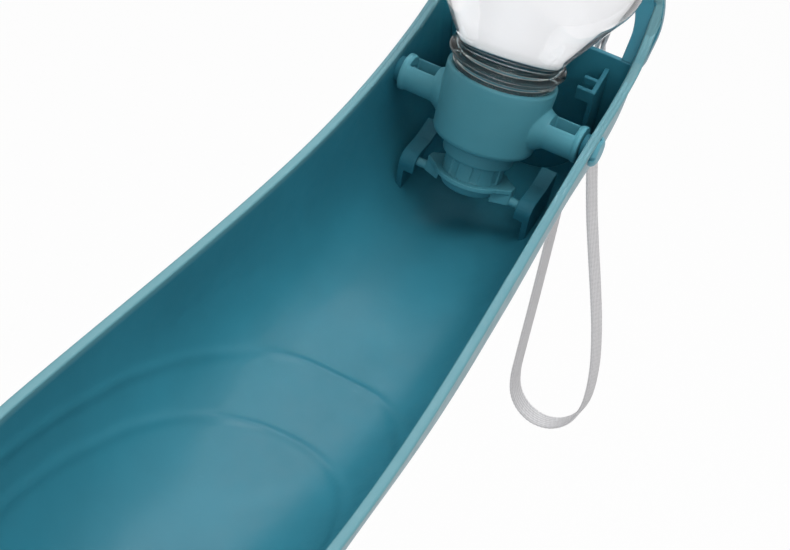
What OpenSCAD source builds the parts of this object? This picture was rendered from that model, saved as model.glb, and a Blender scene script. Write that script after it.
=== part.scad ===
/* [Bottle] */
// Outer radius of the bottle body
bottle_r = 37; // [34:0.5:37.5]
// Distance from the trough pivot to the bottle base
bottle_end = 232; // [170:1:234]
// Wall thickness of the blown bottle
bottle_wall = 1.1; // [0.9:0.1:1.3]
// Outer radius of the threaded neck
neck_r = 17; // [16.6:0.1:17.2]
// Radius of the handling ring on the neck
neck_ring_r = 21; // [20:0.1:21.5]
// Angle by which the bottle leans back from upright
lean = 16; // [14:1:18]
// Distance from the pivot to the middle of the hand grip
grip_s = 135; // [125:1:140]

/* [Cap] */
// Outer radius of the cap at its open rim
cap_rim_r = 19.8; // [19.6:0.1:20.2]
// Outer radius of the cap at its closed end
cap_end_r = 17.9; // [17.4:0.1:18.4]
// Height of the open rim above the pivot
cap_top = 13.5; // [13:0.1:13.6]
// Depth of the closed end below the pivot
cap_bottom = 11.6; // [11:0.1:12]
// Radius of the two arms that carry the trough
arm_r = 6.3; // [6:0.1:6.6]
// Distance from the middle to the end of each arm
arm_end = 34.2; // [33.8:0.1:34.2]
// Radius of the two pivot pins
pin_r = 2.55; // [2.4:0.05:2.55]

/* [Valve] */
// Outer radius of the outlet tube
tube_r = 8.9; // [8.6:0.1:8.9]
// Outer radius of the sliding sleeve
sleeve_r = 10.8; // [10.6:0.1:10.9]
// Depth of the nozzle mouth below the pivot, valve open
nozzle_end = 31.2; // [31:0.1:31.4]
// Radius of the outlet hole
outlet_r = 3; // [2.8:0.1:3.2]
// Distance from the pivot to the side pins of the yoke
yoke_pin_s = 30; // [29.8:0.1:30.2]

/* [Trough] */
// Thickness of the trough wall
wall = 2; // [1.8:0.1:2.2]
// Overhang of the rim's lip outside the wall
lip_out = 1.2; // [1:0.1:1.4]
// Half width over the rims beside the pivot
rim_half = 40; // [39.8:0.1:40.2]
// Growth of the half width towards the tip
rim_flare = 9.6; // [9:0.1:10]
// Distance from the pivot to the tip
tip_x = 264; // [260:1:268]
// Depth of the floor below the pivot, beside the valve
floor_depth = 47.5; // [47:0.1:48]
// Rise of the floor towards the tip
floor_rise = 4.5; // [3:0.1:5]
// Distance from the pivot back to the bulkhead
bulkhead_x = 36.9; // [36.8:0.1:37.2]
// Height of the bulkhead top above the pivot
bulkhead_top = 12.6; // [12:0.1:13]
// Length of the carry loop above the bulkhead
loop_len = 48; // [47:0.5:49]

/* [Strap] */
// Width of the wrist strap webbing
strap_w = 8; // [7:0.5:8]
// Thickness of the wrist strap webbing
strap_t = 1.4; // [1.2:0.1:1.4]

/* [Hidden] */
$fn = 96;
eps = 0.01;
teal = [0.27, 0.49, 0.54];
dark_teal = [0.20, 0.40, 0.46];
rubber_white = [0.88, 0.88, 0.86];
strap_grey = [0.74, 0.73, 0.73];
// The pivot sits on the bottle axis, below the middle of the grip
pivot = [grip_s * sin(lean), 0, -grip_s * cos(lean)];
run_gap = 0.05;

// Shoulder of the bottle: a cone that blends into the body
shoulder_half_angle = 33;
shoulder_s = 21.8;
shoulder_r = 18.4;
shoulder_blend = 20;
cone_meet_s = shoulder_s + (bottle_r - shoulder_r) / tan(shoulder_half_angle);
blend_s = cone_meet_s + shoulder_blend * tan(shoulder_half_angle / 2);
blend_r = bottle_r - shoulder_blend;
base_blend = 8;
base_s = bottle_end - base_blend;
base_r = bottle_r - base_blend;
neck_mouth = 1.5;
neck_wall = 1.8;

// Cap and valve levels, measured along the bottle axis from the pivot
thread_clear_r = 18.2;
tube_bore_r = 6.8;
tube_flange_r = 12;
tube_flange_t = 1.2;
collar_r = 12.8;
collar_end = 18.6;
collar_bore_r = 11.4;
collar_top = 12;
tube_end = 24.5;
spoke_t = 3;
stem_r = 1.55;
stem_end = 27;
plug_r = 2.9;
plug_top = 24.6;
plug_end = 27.4;
o_ring_s = 19.5;
o_ring_r = 0.65;
o_ring_mid_r = tube_r - o_ring_r + 0.03;
sleeve_bore_r = tube_r + 0.1;
sleeve_top = 15;
sleeve_end = 27;
yoke_top = 25.3;
yoke_r = 13.4;
yoke_pin_r = 1.6;
yoke_pin_end = 23;
ear_outer = 16.4;
ear_half = 2;
ear_end = 31.2;
cup_r = 11.2;
cup_floor = 2.2;

// Claws and brackets that stand in the trough
claw_in = 19.9;
claw_out = 25.8;
claw_plate_t = 2.3;
claw_slit = 0.35;
claw_front = 12.4;
claw_t = 1.5;
claw_bend_r = 4.6;
claw_bend = [claw_front - claw_bend_r, -29.9];
claw_top_front = [claw_bend.x, claw_bend.y + claw_bend_r];
claw_top_mid = [-1, -25.4];
claw_top_rear = [-10, -23.3];
claw_lip = -32.2;
claw_foot = -41.3;
latch_in = 26.2;
latch_out = 28;
latch_gap_mid = -27.6;
latch_gap = 3.8;
latch_prong_in = 21.4;
latch_foot = -36.4;
boss_r = 4.6;
head_r = 5.6;
pin_from = 30.6;
right_head_t = 2.3;
left_head_t = 0.9;
loop_t = 2.6;
loop_lean = atan(0.65);
loop_half_out = 39.6;
loop_half_in = 30.9;
loop_hole_top = 35;
loop_rim = 3.2;

// Shape of the trough, as functions of the distance from the pivot
function clamp01(t) = min(max(t, 0), 1);
function ease(t) = let (u = clamp01(t)) u * u * (3 - 2 * u);
function rim_z(x) =
    x > 75 ? 0.6 + 0.00056 * (x - 75) ^ 2
           : 0.6 + 0.00125 * (75 - x) ^ 2 + 0.003 * max(0, -x - 10) ^ 2 + 0.01 * max(0, -x - 25) ^ 2;
function rim_half_out(x) =
    rim_half + rim_flare * ease((x + 10) / 220) - 0.0018 * max(0, -x - 23) ^ 2;
function floor_z(x) = -floor_depth + floor_rise * ease((x - 30) / 150);
function section_power(x) = 3 + 0.4 * ease(x / 60) - 1.2 * ease((x - 90) / 100);
// Inward slope of the side walls
function draft(x) = 0.06 - 0.02 * ease((x - 5) / 60);
nose_power = 3;
nose_width_from = 205;
nose_depth_from = 210;
function nose(x, from, tip) = (1 - clamp01((x - from) / (tip - from)) ^ nose_power) ^ (1 / nose_power);
// Where the rear end of the walls lies: upright to the bulkhead top, then leaning back
function rear_x(z) = -bulkhead_x - max(0, z - bulkhead_top) * tan(loop_lean);

// One cross section of the wall surface, from the left rim to the right rim, closer near the rims
section_steps = 32;
lip_h = 1.9;
function section(x, inset, tip, drop) =
    let (
        half = rim_half_out(x) - lip_out - inset,
        narrow = nose(x, nose_width_from, tip),
        top = rim_z(x),
        depth = (top - floor_z(x) + wall - inset) * nose(x, nose_depth_from, tip),
        p = 2 / section_power(x),
        first = asin((drop / depth) ^ (1 / p))
    )
    [for (i = [0:section_steps])
        let (u = 2 * i / section_steps - 1,
             a = 90 + (90 - first) * sign(u) * (1 - (1 - abs(u)) ^ 1.5), c = cos(a), s = sin(a),
             down = depth * abs(s) ^ p)
        [x, -(half - draft(x) * down) * narrow * sign(c) * abs(c) ^ p, top - down]];
// The outer face with the lip's edge at both ends
function outer_section(x, x_lip) =
    let (half = rim_half_out(x_lip) * nose(x_lip, nose_width_from, tip_x), top = rim_z(x_lip))
    concat([[x_lip, -half, top], [x_lip, -half, top - lip_h]], section(x, 0, tip_x - lip_out, lip_h),
           [[x_lip, half, top - lip_h], [x_lip, half, top]]);
function inner_section(x) = section(x, wall, tip_x - lip_out - wall, 0);

// Stations along the trough: even steps, then finer ones round the nose
body_steps = 30;
nose_steps = 13;
nose_stop = 88.7;
body_from = -32;
rear_from = -47;
rear_steps = 3;
function station_x(i, tip) =
    i < body_steps
        ? body_from + (nose_width_from - body_from) * i / body_steps
        : nose_width_from + (tip - nose_width_from) * sin(nose_stop * (i - body_steps) / nose_steps);
stations = body_steps + nose_steps;
// Rings behind the first station lean over to the rear end
function leaned(row, t) = [for (q = row) [rear_x(q.z) * (1 - t) + body_from * t, q.y, q.z]];
rear_stations = [for (i = [0:rear_steps - 1]) i / rear_steps];
function rear_station(t) = rear_from * (1 - t) + body_from * t;
outer_skin = concat(
    [for (t = rear_stations) let (x = rear_station(t)) leaned(outer_section(x, x), t)],
    [for (i = [0:stations]) outer_section(station_x(i, tip_x - lip_out), station_x(i, tip_x))]
);
inner_skin = concat(
    [for (t = rear_stations) leaned(inner_section(rear_station(t)), t)],
    [for (i = [0:stations]) inner_section(station_x(i, tip_x - lip_out - wall))]
);

// Route of the wrist strap, measured from the pivot, and its twist below the sewn end
strap_route = [
    [-60.8, 16.2, 28], [-60.8, 16.6, 14], [-60.6, 17.6, -2], [-60.3, 19.6, -20], [-60, 22.8, -38],
    [-60, 26.4, -56], [-60, 30.6, -74], [-60, 35.8, -93], [-60, 41.2, -112], [-60, 46.2, -131],
    [-60, 50, -150], [-60, 51.4, -166], [-60, 50.6, -177], [-60, 47, -187], [-60, 40.6, -193.6],
    [-60, 33, -195.4], [-60, 26, -192.6], [-60, 20.8, -186], [-60, 18.4, -176], [-60, 18, -160],
    [-60, 17.9, -138], [-60, 17.7, -116], [-60, 17.4, -94], [-60, 17, -72], [-60, 16.5, -50],
    [-59.7, 16, -28], [-59.4, 15.6, -6], [-59.2, 15.7, 12], [-59.2, 16.2, 28]
];
twist_from = 28;
twist_to = -14;
sewn_y = 16.2;

module place() {
    translate(pivot) children();
}

module on_bottle() {
    place() rotate([0, -lean, 0]) children();
}

module along_y(y) {
    translate([0, y, 0]) rotate([-90, 0, 0]) children();
}

function arc(cr, cs, r, from, to, steps) =
    [for (i = [0:steps]) let (a = from + (to - from) * i / steps) [cr + r * cos(a), cs + r * sin(a)]];

module bottle() {
    ring_mid = neck_ring_r - 1.5;
    outside = concat(
        [[neck_r, neck_mouth], [neck_r, 13.7], [neck_r + 1.6, 14.1], [neck_r + 1.6, 15],
         [neck_r + 0.3, 15.4], [neck_r + 0.3, 16], [neck_r + 1.9, 16.3], [neck_r + 1.9, 17.1],
         [neck_r + 0.8, 17.5]],
        arc(ring_mid, 19.1, 1.5, -90, 90, 12),
        [[shoulder_r - 0.1, 20.8], [shoulder_r, shoulder_s]],
        arc(blend_r, blend_s, shoulder_blend, -shoulder_half_angle, 0, 10),
        arc(base_r, base_s, base_blend, 0, 90, 8),
        [[20, bottle_end], [16, bottle_end - 2.5], [0, bottle_end - 3.5]]
    );
    inside = concat(
        [[0, bottle_end - 3.5 - bottle_wall], [16, bottle_end - 2.5 - bottle_wall],
         [20, bottle_end - bottle_wall]],
        arc(base_r, base_s, base_blend - bottle_wall, 90, 0, 8),
        arc(blend_r, blend_s, shoulder_blend - bottle_wall, 0, -shoulder_half_angle, 10),
        [[16.4, 20.6], [neck_r - neck_wall, 18.8], [neck_r - neck_wall, neck_mouth]]
    );
    color([0.86, 0.87, 0.88, 0.45])
        on_bottle() rotate_extrude() polygon(concat(outside, inside));
}

module neck_gasket() {
    color(rubber_white)
        on_bottle() difference() {
            cylinder(r = 17.8, h = neck_mouth);
            translate([0, 0, -1]) cylinder(r = 14, h = neck_mouth + 2);
        }
}

module arm(side) {
    along_y(side > 0 ? 17.5 : -arm_end) cylinder(r = arm_r, h = arm_end - 17.5);
    along_y(side > 0 ? arm_end - 1.6 : -arm_end) cylinder(r = arm_r + 0.4, h = 1.6);
    along_y(side > 0 ? 17.5 : -21.5)
        cylinder(r1 = side > 0 ? arm_r + 2.6 : arm_r, r2 = side > 0 ? arm_r : arm_r + 2.6, h = 4);
}

module arm_cuts(side) {
    pocket_from = 22;
    pocket_len = 9.6;
    along_y(side > 0 ? 31 : -arm_end - 1) cylinder(r = pin_r + run_gap, h = arm_end - 30);
    translate([-3.8, side > 0 ? pocket_from : -pocket_from - pocket_len, -2.9])
        cube([8.4, pocket_len, 12]);
}

module cap_collar() {
    color(teal)
        on_bottle() difference() {
            union() {
                rotate_extrude() polygon([
                    [0, cap_top], [cap_rim_r - 0.6, cap_top], [cap_rim_r, cap_top - 0.6],
                    [cap_rim_r, cap_top - 3], [cap_rim_r - 0.5, 2], [cap_rim_r - 0.8, -3],
                    [cap_end_r + 0.5, 1.2 - cap_bottom], [cap_end_r, -cap_bottom],
                    [cap_end_r - 1.6, -cap_bottom - 0.8], [collar_r + 0.6, -cap_bottom - 1],
                    [collar_r, -cap_bottom - 2], [collar_r, 0.4 - collar_end],
                    [collar_r - 0.4, -collar_end], [0, -collar_end]
                ]);
                arm(1);
                arm(-1);
            }
            cylinder(r = thread_clear_r, h = cap_top + 1);
            translate([0, 0, -tube_flange_t]) cylinder(r = tube_flange_r + 0.1, h = tube_flange_t + 1);
            translate([0, 0, -collar_end - 1]) cylinder(r = tube_r + 0.1, h = collar_end + 1);
            translate([0, 0, -collar_end - 1]) cylinder(r = collar_bore_r, h = collar_end - collar_top + 1);
            arm_cuts(1);
            arm_cuts(-1);
        }
}

module outlet_tube() {
    color(dark_teal)
        on_bottle() {
            difference() {
                union() {
                    translate([0, 0, -tube_flange_t]) cylinder(r = tube_flange_r, h = tube_flange_t);
                    translate([0, 0, -tube_end]) cylinder(r = tube_r, h = tube_end);
                }
                translate([0, 0, -tube_end - 1]) cylinder(r = tube_bore_r, h = tube_end + 2);
                translate([0, 0, -o_ring_s - 0.8]) difference() {
                    cylinder(r = tube_r + 1, h = 1.6);
                    translate([0, 0, -1]) cylinder(r = o_ring_mid_r - o_ring_r - 0.02, h = 4);
                }
            }
            for (a = [0:120:240])
                rotate([0, 0, a])
                    translate([0, -0.8, -tube_end]) cube([tube_bore_r + 0.6, 1.6, spoke_t]);
            translate([0, 0, -stem_end]) cylinder(r = stem_r, h = stem_end - tube_end + spoke_t);
        }
}

module tube_o_ring() {
    color([0.12, 0.12, 0.12])
        on_bottle() translate([0, 0, -o_ring_s])
            rotate_extrude() translate([o_ring_mid_r, 0]) circle(r = o_ring_r, $fn = 32);
}

module plug_seal() {
    color(rubber_white)
        on_bottle() rotate_extrude() polygon([
            [stem_r + run_gap, -plug_top], [stem_r + run_gap, -stem_end - 0.05], [0, -stem_end - 0.05],
            [0, -plug_end], [plug_r - 0.8, -plug_end], [plug_r, 0.8 - plug_end], [plug_r, -plug_top]
        ]);
}

module valve_sleeve() {
    panels = 8;
    color(teal)
        on_bottle() difference() {
            translate([0, 0, -sleeve_end]) cylinder(r = sleeve_r, h = sleeve_end - sleeve_top);
            translate([0, 0, -sleeve_end - 1]) cylinder(r = sleeve_bore_r, h = sleeve_end);
            for (i = [0:panels - 1])
                rotate([0, 0, 360 * (i + 0.5) / panels])
                    translate([sleeve_r - 0.6, -1.5, -yoke_top]) cube([2, 3, yoke_top - collar_end - 0.6]);
        }
}

module yoke_ear(side) {
    mirror([0, side > 0 ? 0 : 1, 0]) {
        translate([0, 0, -ear_end]) difference() {
            union() {
                linear_extrude(ear_end - yoke_top)
                    polygon([[-5.4, 9.8], [5.4, 9.8], [ear_half, ear_outer], [-ear_half, ear_outer]]);
                translate([0, 0, ear_end - sleeve_end]) linear_extrude(sleeve_end - yoke_top)
                    polygon([[-8, 9.8], [8, 9.8], [ear_half, ear_outer], [-ear_half, ear_outer]]);
            }
            translate([0, 0, -1]) cylinder(r = cup_r + 0.1, h = 1 + ear_end - sleeve_end);
            translate([0, 0, -1]) cylinder(r = sleeve_r, h = 12);
        }
        along_y(ear_outer - 1) translate([0, yoke_pin_s, 0])
            cylinder(r = yoke_pin_r, h = yoke_pin_end - ear_outer + 1);
    }
}

module valve_yoke() {
    color(teal)
        on_bottle() {
            translate([0, 0, -sleeve_end]) difference() {
                cylinder(r = yoke_r, h = sleeve_end - yoke_top);
                translate([0, 0, -1]) cylinder(r = sleeve_r, h = 4);
            }
            yoke_ear(1);
            yoke_ear(-1);
        }
}

module nozzle_cup() {
    floor_top = cup_floor - nozzle_end;
    color(teal)
        on_bottle() rotate_extrude() polygon([
            [sleeve_bore_r, -sleeve_end], [cup_r, -sleeve_end], [cup_r - 0.2, -sleeve_end - 1.2],
            [cup_r - 0.9, 1.4 - nozzle_end], [cup_r - 1.6, 0.5 - nozzle_end], [cup_r - 2.7, -nozzle_end],
            [outlet_r + 0.5, -nozzle_end], [outlet_r, 0.5 - nozzle_end], [outlet_r, floor_top],
            [sleeve_bore_r - 1.5, floor_top], [sleeve_bore_r, floor_top + 1]
        ]);
}

module trough_skin() {
    n = section_steps + 1;
    m = n + 4;
    last = len(outer_skin) - 1;
    function o(i, j) = i * m + j;
    function q(i, j) = (last + 1) * m + i * n + j;
    outer_faces = [for (i = [0:last - 1], j = [0:m - 2])
        each [[o(i, j), o(i + 1, j), o(i + 1, j + 1)], [o(i, j), o(i + 1, j + 1), o(i, j + 1)]]];
    inner_faces = [for (i = [0:last - 1], j = [0:n - 2])
        each [[q(i, j), q(i + 1, j + 1), q(i + 1, j)], [q(i, j), q(i, j + 1), q(i + 1, j + 1)]]];
    left_rim = [for (i = [0:last - 1])
        each [[o(i, 0), q(i, 0), q(i + 1, 0)], [o(i, 0), q(i + 1, 0), o(i + 1, 0)]]];
    right_rim = [for (i = [0:last - 1])
        each [[o(i, m - 1), q(i + 1, n - 1), q(i, n - 1)], [o(i, m - 1), o(i + 1, m - 1), q(i + 1, n - 1)]]];
    rear_end = concat(
        [[o(0, 0), o(0, 1), q(0, 0)], [o(0, 1), o(0, 2), q(0, 0)],
         [o(0, m - 3), o(0, m - 2), q(0, n - 1)], [o(0, m - 2), o(0, m - 1), q(0, n - 1)]],
        [for (j = [0:n - 2])
            each [[o(0, j + 2), q(0, j + 1), q(0, j)], [o(0, j + 2), o(0, j + 3), q(0, j + 1)]]]);
    tip_outer = concat(
        [[o(last, 0), o(last, m - 2), o(last, 1)], [o(last, 0), o(last, m - 1), o(last, m - 2)],
         [o(last, 1), o(last, m - 3), o(last, 2)], [o(last, 1), o(last, m - 2), o(last, m - 3)]],
        [for (j = [3:m - 4]) [o(last, 2), o(last, j + 1), o(last, j)]]);
    tip_inner = [for (j = [1:n - 2]) [q(last, 0), q(last, j), q(last, j + 1)]];
    tip_top = [[o(last, 0), q(last, 0), q(last, n - 1)], [o(last, 0), q(last, n - 1), o(last, m - 1)]];
    polyhedron(
        points = [for (row = outer_skin) each row, for (row = inner_skin) each row],
        faces = [for (f = concat(outer_faces, inner_faces, left_rim, right_rim, rear_end,
                                 tip_outer, tip_inner, tip_top)) [f[0], f[2], f[1]]]
    );
}

module trough_shell() {
    color(teal)
        place() difference() {
            trough_skin();
            along_y(-60) cylinder(r = pin_r + run_gap, h = 120);
        }
}

module rear_bulkhead() {
    edge = section(rear_from, 0, tip_x, lip_h);
    color(teal)
        place() rotate([90, 0, -90]) translate([0, 0, bulkhead_x])
            linear_extrude(wall) intersection() {
                polygon([for (q = edge) [-q.y, q.z]]);
                translate([-60, -60]) square([120, 60 + bulkhead_top]);
            }
}

// A half ellipse on straight legs, as a list of points
function arch(half, centre, rise, foot = 0) = concat(
    [[half - foot, 0]],
    [for (i = [0:40]) let (a = 180 * i / 40) [half * cos(a), centre + rise * sin(a)]],
    [[foot - half, 0]]
);

module carry_loop() {
    outer_c = 12;
    inner_c = 8;
    join_v = 18.6;
    outer_rise = loop_len - outer_c;
    color(teal)
        place() difference() {
            translate([-bulkhead_x, 0, bulkhead_top]) rotate([0, -loop_lean, 0])
                rotate([90, 0, -90]) difference() {
                    union() {
                        linear_extrude(loop_t) polygon(arch(loop_half_out, outer_c, outer_rise, 0.8));
                        difference() {
                            translate([0, 0, -0.9]) linear_extrude(loop_t + 1.9)
                                polygon(arch(loop_half_out, outer_c, outer_rise, 0.8));
                            translate([0, 0, -2]) linear_extrude(loop_t + 6)
                                polygon(arch(loop_half_out - loop_rim, outer_c, outer_rise - loop_rim));
                            translate([-60, -1, -2]) cube([120, join_v + 1, 2]);
                        }
                    }
                    translate([0, 0, -1]) linear_extrude(loop_t + 6)
                        polygon(arch(loop_half_in, inner_c, loop_hole_top - inner_c));
                    translate([-loop_half_in, -1, -1]) cube([2 * loop_half_in, 2, loop_t + 6]);
                }
            translate([-80, -60, bulkhead_top - 20]) cube([80, 120, 20]);
        }
}

module claw_outline() {
    down = [0, -claw_t];
    polygon(concat(
        [claw_top_rear, claw_top_mid, claw_top_front],
        [for (a = [75:-15:0]) claw_bend + claw_bend_r * [cos(a), sin(a)]],
        [[claw_front, claw_lip], [claw_front - claw_t, claw_lip]],
        [for (a = [0:15:75]) claw_bend + (claw_bend_r - claw_t) * [cos(a), sin(a)]],
        [claw_top_front + down, claw_top_mid + down, claw_top_rear + down]
    ));
}

module cam_claw(side) {
    color(teal)
        place() mirror([0, side > 0 ? 0 : 1, 0]) {
            difference() {
                translate([0, claw_out, 0]) rotate([90, 0, 0])
                    linear_extrude(claw_out - claw_in) claw_outline();
                translate([8.4, claw_out - claw_plate_t - claw_slit, -45]) cube([20, claw_slit, 30]);
            }
            translate([0, claw_out, 0]) rotate([90, 0, 0]) linear_extrude(claw_plate_t)
                polygon(concat(
                    [claw_top_rear, claw_top_mid, claw_top_front],
                    [for (a = [75:-15:0]) claw_bend + claw_bend_r * [cos(a), sin(a)]],
                    [[claw_front, -36], [claw_front - 0.6, claw_foot], [-4, claw_foot + 0.9], [-8, -34]]
                ));
        }
}

module left_cam_claw() {
    cam_claw(-1);
}

module right_cam_claw() {
    cam_claw(1);
}

module latch_bracket(side) {
    front = latch_gap_mid + latch_gap / 2;
    back = latch_gap_mid - latch_gap / 2;
    color(dark_teal)
        place() mirror([0, side > 0 ? 0 : 1, 0]) {
            translate([0, latch_out, 0]) rotate([90, 0, 0]) linear_extrude(latch_out - latch_in)
                polygon([[-bulkhead_x, 7.4], [front + 1.3, 3.8], [front + 1.3, latch_foot],
                         [-bulkhead_x, latch_foot + 2]]);
            translate([0, latch_in, 0]) rotate([90, 0, 0]) linear_extrude(latch_in - latch_prong_in)
                polygon([[back - 1.3, 5.8], [back, 5.4], [back, -2], [back - 1.3, -2]]);
            translate([0, latch_in, 0]) rotate([90, 0, 0]) linear_extrude(latch_in - latch_prong_in + 0.4)
                polygon([[front, 4.3], [front + 1.3, 3.8], [front + 1.3, -1], [front, -1]]);
        }
}

module left_latch_bracket() {
    latch_bracket(-1);
}

module right_latch_bracket() {
    latch_bracket(1);
}

module pivot_boss(side) {
    from = arm_end + 0.3;
    to = rim_half_out(0) - lip_out - wall + 0.2;
    color(teal)
        place() along_y(side > 0 ? from : -to) difference() {
            cylinder(r = boss_r, h = to - from);
            translate([0, 0, -1]) cylinder(r = pin_r + run_gap, h = 10);
        }
}

module left_pivot_boss() {
    pivot_boss(-1);
}

module right_pivot_boss() {
    pivot_boss(1);
}

module pivot_pin(side) {
    face = rim_half_out(0) - lip_out - 0.1;
    head_t = side > 0 ? right_head_t : left_head_t;
    color(teal)
        place() mirror([0, side > 0 ? 0 : 1, 0]) difference() {
            union() {
                along_y(pin_from) cylinder(r = pin_r, h = face - pin_from + 0.5);
                along_y(face) cylinder(r = head_r, h = head_t * 0.45);
                along_y(face + head_t * 0.45)
                    cylinder(r1 = head_r, r2 = head_r - head_t * 0.3, h = head_t * 0.35);
                along_y(face + head_t * 0.8)
                    cylinder(r1 = head_r - head_t * 0.3, r2 = head_r - head_t * 0.7, h = head_t * 0.2);
            }
            if (side > 0)
                for (a = [0, 90, 180, 270])
                    rotate([0, a, 0]) translate([head_r - 1.1, face - 1, -0.7]) cube([3, 9, 1.4]);
        }
}

module left_pivot_pin() {
    pivot_pin(-1);
}

module right_pivot_pin() {
    pivot_pin(1);
}

// A flat band swept along the route, with its width turning from across to along the trough
function unit(v) = v / norm(v);
function route_dir(i) =
    let (a = strap_route[max(i - 1, 0)], b = strap_route[min(i + 1, len(strap_route) - 1)]) unit(b - a);
function twist_at(z) = 90 * ease((twist_from - z) / (twist_from - twist_to));
band_side = [[0.5, 0.25], [0.42, 0.5], [-0.42, 0.5], [-0.5, 0.25], [-0.5, -0.25], [-0.42, -0.5],
             [0.42, -0.5], [0.5, -0.25]];
function band_ring(i) =
    let (
        d = route_dir(i),
        q = strap_route[i],
        t = twist_at(q.z),
        wide = unit(let (w = [sin(t), cos(t), 0]) w - d * (w * d)),
        thick = cross(d, wide)
    )
    [for (s = band_side) q + wide * s.x * strap_w + thick * s.y * strap_t];

module wrist_strap() {
    rings = [for (i = [0:len(strap_route) - 1]) band_ring(i)];
    m = len(band_side);
    last = len(rings) - 1;
    sides = [for (i = [0:last - 1], j = [0:m - 1])
        let (k = (j + 1) % m)
        each [[i * m + j, i * m + k, (i + 1) * m + k], [i * m + j, (i + 1) * m + k, (i + 1) * m + j]]];
    start = [for (j = [1:m - 2]) [0, j + 1, j]];
    end = [for (j = [1:m - 2]) [last * m, last * m + j, last * m + j + 1]];
    color(strap_grey)
        place() polyhedron(points = [for (r = rings) each r], faces = concat(sides, start, end));
}

module strap_sewn_end() {
    band_turn = 26;
    band_mid_v = 37.9;
    band_len = 13.6;
    color(strap_grey)
        place() {
            translate([-bulkhead_x, 0, bulkhead_top]) rotate([0, -loop_lean, 0])
                translate([0, sewn_y, band_mid_v]) rotate([-band_turn, 0, 0])
                    difference() {
                        translate([-6.6, -strap_w / 2, -band_len / 2 - 2])
                            cube([9.2, strap_w, band_len + 4]);
                        translate([-5.2, -strap_w, -band_len / 2 - 0.6])
                            cube([6.4, 2 * strap_w, band_len + 1.2]);
                    }
            translate([-60 - 1.5, sewn_y - strap_w / 2, 28]) cube([3, strap_w, 12.4]);
        }
}

bottle();
neck_gasket();
cap_collar();
outlet_tube();
tube_o_ring();
plug_seal();
valve_sleeve();
valve_yoke();
nozzle_cup();
trough_shell();
rear_bulkhead();
carry_loop();
left_cam_claw();
right_cam_claw();
left_latch_bracket();
right_latch_bracket();
left_pivot_boss();
right_pivot_boss();
left_pivot_pin();
right_pivot_pin();
wrist_strap();
strap_sewn_end();
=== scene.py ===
import math

import bmesh
import bpy
from mathutils import Matrix, Vector


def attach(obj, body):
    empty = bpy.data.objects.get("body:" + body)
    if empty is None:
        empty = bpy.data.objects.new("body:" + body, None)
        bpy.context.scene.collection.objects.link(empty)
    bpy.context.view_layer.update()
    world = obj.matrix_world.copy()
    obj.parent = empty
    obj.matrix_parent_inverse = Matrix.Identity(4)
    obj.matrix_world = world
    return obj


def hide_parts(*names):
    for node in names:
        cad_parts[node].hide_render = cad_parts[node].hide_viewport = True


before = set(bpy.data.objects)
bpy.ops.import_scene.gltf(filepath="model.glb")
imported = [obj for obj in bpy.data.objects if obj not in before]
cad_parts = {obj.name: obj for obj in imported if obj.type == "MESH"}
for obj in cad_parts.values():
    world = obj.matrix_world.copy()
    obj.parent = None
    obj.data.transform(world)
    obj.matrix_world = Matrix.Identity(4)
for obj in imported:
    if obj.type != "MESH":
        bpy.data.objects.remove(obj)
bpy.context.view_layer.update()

MM = 0.001

# The trough's pivot, 135 mm down the bottle's axis from the origin in the grip
LEAN = math.radians(16)
GRIP_S = 135.0
PIVOT = Vector((GRIP_S * math.sin(LEAN), 0.0, -GRIP_S * math.cos(LEAN)))
AXIS = Vector((-math.sin(LEAN), 0.0, math.cos(LEAN)))


def along_bottle(r_x, y, s):
    """A point given across and along the bottle's axis, in millimetres from the pivot."""
    side = Vector((math.cos(LEAN), 0.0, math.sin(LEAN)))
    return (PIVOT + side * r_x + Vector((0, y, 0)) + AXIS * s) * MM


def add_mesh(name, verts, faces, smooth=True):
    mesh = bpy.data.meshes.new(name)
    mesh.from_pydata([tuple(v) for v in verts], [], faces)
    mesh.update()
    mesh.validate()
    obj = bpy.data.objects.new(name, mesh)
    bpy.context.scene.collection.objects.link(obj)
    for p in mesh.polygons:
        p.use_smooth = smooth
    return obj


def mend_normals(obj, merge=None):
    """Turns all faces outward, after joining points closer than merge, and shades them smooth."""
    bm = bmesh.new()
    bm.from_mesh(obj.data)
    if merge:
        bmesh.ops.remove_doubles(bm, verts=bm.verts, dist=merge)
    bmesh.ops.recalc_face_normals(bm, faces=bm.faces)
    bm.to_mesh(obj.data)
    bm.free()
    for p in obj.data.polygons:
        p.use_smooth = True


def apply_modifiers(obj):
    dg = bpy.context.evaluated_depsgraph_get()
    baked = bpy.data.meshes.new_from_object(obj.evaluated_get(dg))
    obj.modifiers.clear()
    obj.data = baked
    for p in obj.data.polygons:
        p.use_smooth = True
    return obj


# ---------------------------------------------------------------- camera
# The camera's place is in millimetres from the pivot
CAM_AT = Vector((484.73, 148.43, 379.14))
CAM_BACK = Vector((0.6941, 0.2460, 0.6765)).normalized()
CAM_RIGHT = Vector((-0.4501, 0.8818, 0.1412)).normalized()
FOCAL_PX = 1817.35
WIDTH_PX = 790.0
SENSOR = 36.0


def make_camera():
    data = bpy.data.cameras.new("camera")
    cam = bpy.data.objects.new("camera", data)
    bpy.context.scene.collection.objects.link(cam)
    up = CAM_BACK.cross(CAM_RIGHT).normalized()
    right = up.cross(CAM_BACK).normalized()
    turn = Matrix((right, up, CAM_BACK)).transposed()
    cam.matrix_world = Matrix.Translation((PIVOT + CAM_AT) * MM) @ turn.to_4x4()
    data.sensor_width = SENSOR
    data.lens = FOCAL_PX * SENSOR / WIDTH_PX
    data.clip_start = 0.01
    data.clip_end = 50
    bpy.context.scene.camera = cam


make_camera()


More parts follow.
